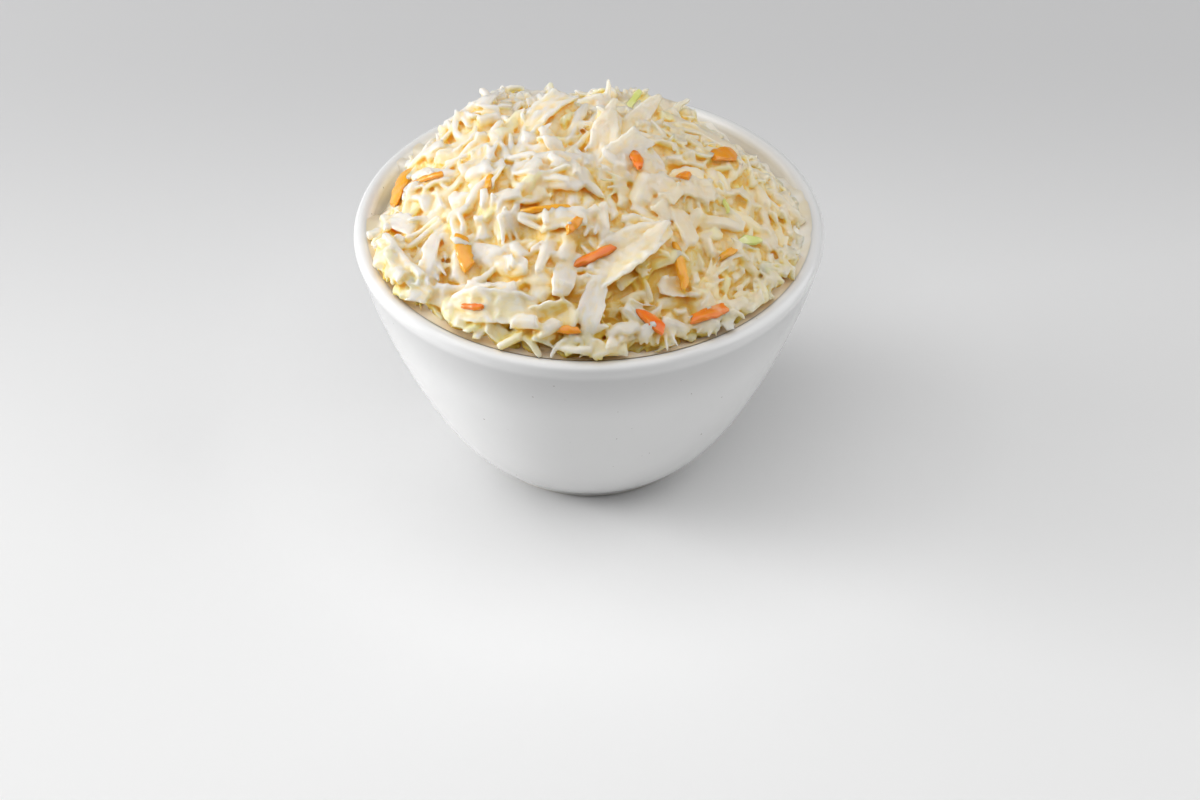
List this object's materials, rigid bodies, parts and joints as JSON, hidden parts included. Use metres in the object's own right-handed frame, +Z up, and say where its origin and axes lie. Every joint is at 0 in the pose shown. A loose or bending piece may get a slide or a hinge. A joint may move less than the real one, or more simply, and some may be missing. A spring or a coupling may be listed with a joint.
{
  "type": "bowl of coleslaw",
  "caption": "Creamy shredded cabbage and carrot salad heaped over the rim of a small round white porcelain bowl with a rolled lip and a low foot ring.",
  "frame": {"origin": "middle of the foot ring, on the surface that the bowl stands on", "axes": "+Z up through the middle of the bowl, -Y towards the viewer, +X to the viewer's right"},
  "size_m": [0.102, 0.102, 0.0814],
  "materials": {
    "porcelain": "smooth clear glaze over white porcelain",
    "cabbage": "wet, slightly translucent white cabbage coated in creamy dressing",
    "carrot": "wet grated carrot",
    "green_leaf": "wet outer cabbage leaf",
    "dressing": "thin creamy dressing"
  },
  "bodies": {
    "root": {"bowl": "porcelain", "coleslaw": "cabbage"}
  },
  "joints": []
}
